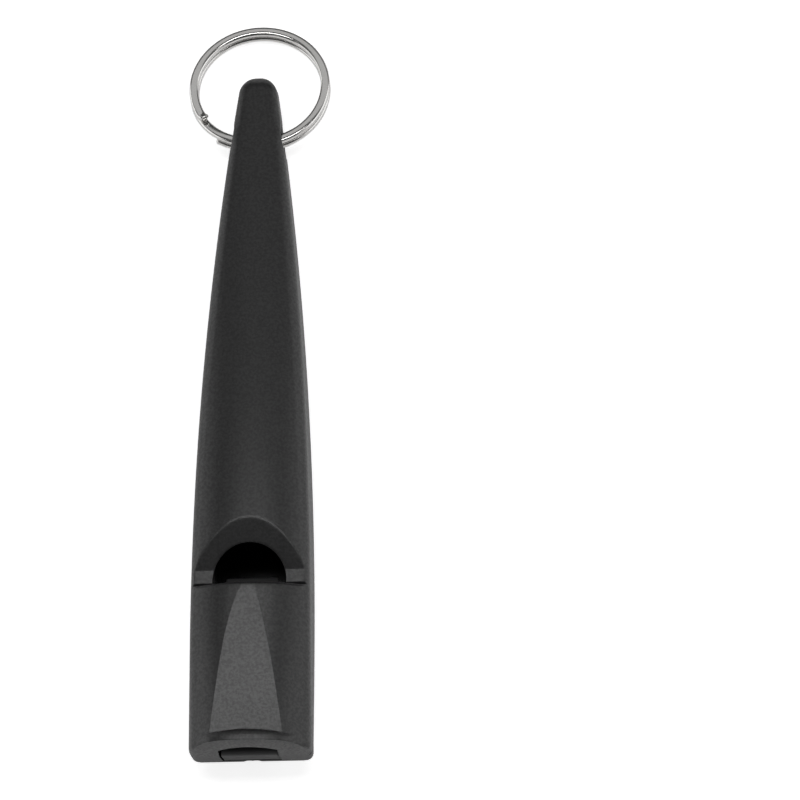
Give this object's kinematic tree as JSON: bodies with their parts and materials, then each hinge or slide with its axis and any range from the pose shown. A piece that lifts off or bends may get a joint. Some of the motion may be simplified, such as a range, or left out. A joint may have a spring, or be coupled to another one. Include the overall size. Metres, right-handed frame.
{
  "type": "dog whistle",
  "caption": "Slim tapered pealess whistle with a flat bite mouthpiece, arched sound window, slotted back facet and a split ring through its tip.",
  "frame": {"origin": "on the flat of the back, in the middle plane, half-way between the mouth and the end of the tip", "axes": "+Y from the mouth to the ring, +Z out of the voiced front, +X to the right seen from the front with the ring up"},
  "size_m": [0.017, 0.0927, 0.0112],
  "materials": {
    "front_plastic": "matte, finely grained charcoal",
    "back_plastic": "glossy black",
    "block_plastic": "satin charcoal",
    "ring_metal": "bright nickel plate"
  },
  "bodies": {
    "body": {"front_shell": "front_plastic", "back_shell": "back_plastic", "windway_block": "block_plastic"},
    "ring": {"split_ring": "ring_metal"}
  },
  "joints": [
    {"name": "ring_swing", "type": "hinge", "parent": "body", "child": "ring", "pos_m": [0, 0.0342, 0.0035], "axis": [1, 0, 0], "range_deg": [-150, 165]}
  ]
}
